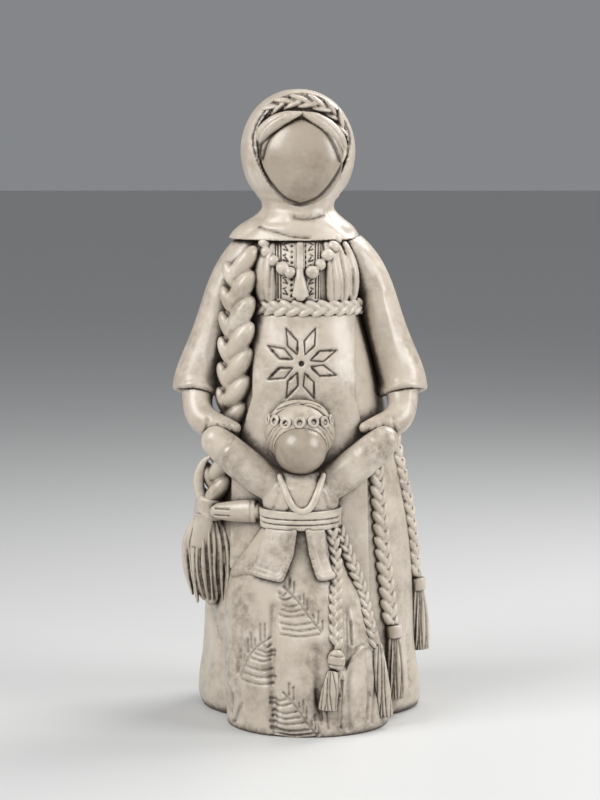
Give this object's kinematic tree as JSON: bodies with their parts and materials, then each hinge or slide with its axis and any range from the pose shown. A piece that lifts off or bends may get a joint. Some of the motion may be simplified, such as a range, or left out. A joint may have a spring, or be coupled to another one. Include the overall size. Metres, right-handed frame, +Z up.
{
  "type": "mother and child doll figurine",
  "caption": "Standing cast figurine of a faceless expectant mother in folk dress who leads a faceless child by both hands.",
  "frame": {"origin": "on the floor under the figure, on the line through the middle of the mother's face, inside the flat base", "axes": "+Z up, -Y is the front that the child stands on, +X is the mother's left hand side"},
  "size_m": [0.0626, 0.0622, 0.1508],
  "materials": {
    "scarf": "satin",
    "skin": "satin",
    "hands": "satin",
    "hair": "satin",
    "dress": "satin",
    "trim": "satin",
    "cords": "satin",
    "child_dress": "satin"
  },
  "bodies": {
    "root": {"apron": "dress", "bead_necklace": "trim", "bodice_gathers_left": "dress", "bodice_gathers_right": "dress", "braid_tassel": "cords", "braid_tie": "cords", "child_arm_left": "child_dress", "child_arm_right": "child_dress", "child_belt": "trim", "child_face": "skin", "child_hair": "hair", "child_hair_crest": "hair", "child_skirt": "child_dress", "child_torso": "child_dress", "clasping_hand": "hands", "crown_plait": "hair", "flower_band": "trim", "hair_lock_left": "hair", "hair_lock_right": "hair", "hand_left": "hands", "hand_right": "hands", "headscarf": "scarf", "inner_cord": "cords", "inner_cord_ferrule": "cords", "inner_cord_tassel": "cords", "jacket_tail_left": "child_dress", "jacket_tail_right": "child_dress", "long_belt_cord": "cords", "long_braid": "hair", "long_cord_tassel": "cords", "mother_bodice": "dress", "mother_face": "skin", "mother_skirt": "dress", "neck_trim": "trim", "necklace_pendant": "trim", "outer_cord": "cords", "outer_cord_ferrule": "cords", "outer_cord_tassel": "cords", "shirt_placket": "trim", "shirt_yoke": "trim", "short_belt_cord": "cords", "short_cord_knot": "cords", "short_cord_tassel": "cords", "sleeve_left": "dress", "sleeve_right": "dress", "tie_ribbon_loop": "cords", "tie_ribbon_tail": "cords", "waist_plait": "trim"}
  },
  "joints": []
}
